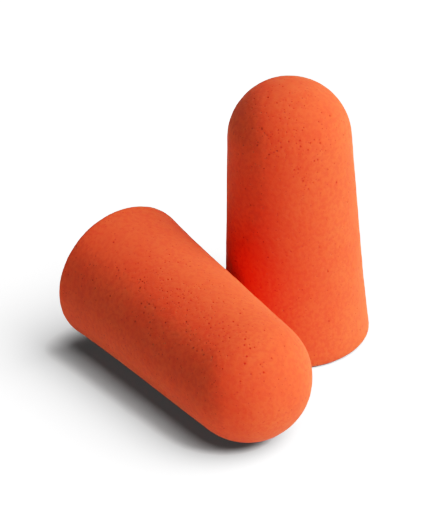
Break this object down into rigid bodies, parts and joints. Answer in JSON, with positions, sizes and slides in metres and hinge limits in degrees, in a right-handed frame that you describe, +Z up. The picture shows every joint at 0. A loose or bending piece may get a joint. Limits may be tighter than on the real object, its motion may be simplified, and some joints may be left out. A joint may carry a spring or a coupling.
{
  "type": "pair of foam ear plugs",
  "caption": "Pair of tapered soft-foam ear plugs with domed tips and flat flared bases, one standing on its base and one lying on its side.",
  "frame": {"origin": "centre of the standing plug's flat base, on the surface that both plugs rest on", "axes": "+Z up along the standing plug's axis; the lying plug is on the -X side with its tip turned towards -Y and +X"},
  "size_m": [0.0271, 0.0265, 0.0244],
  "materials": {
    "foam": "soft matte orange foam, taken to be slow-recovery polyurethane, with fine grain and scattered small open pores"
  },
  "bodies": {
    "standing_plug": {"standing_plug": "foam"},
    "lying_plug": {"lying_plug": "foam"}
  },
  "joints": [
    {"name": "lying_plug_lift", "type": "slide", "parent": "standing_plug", "child": "lying_plug", "axis": [0, 0, 1], "range_m": [0, 0.035]}
  ]
}
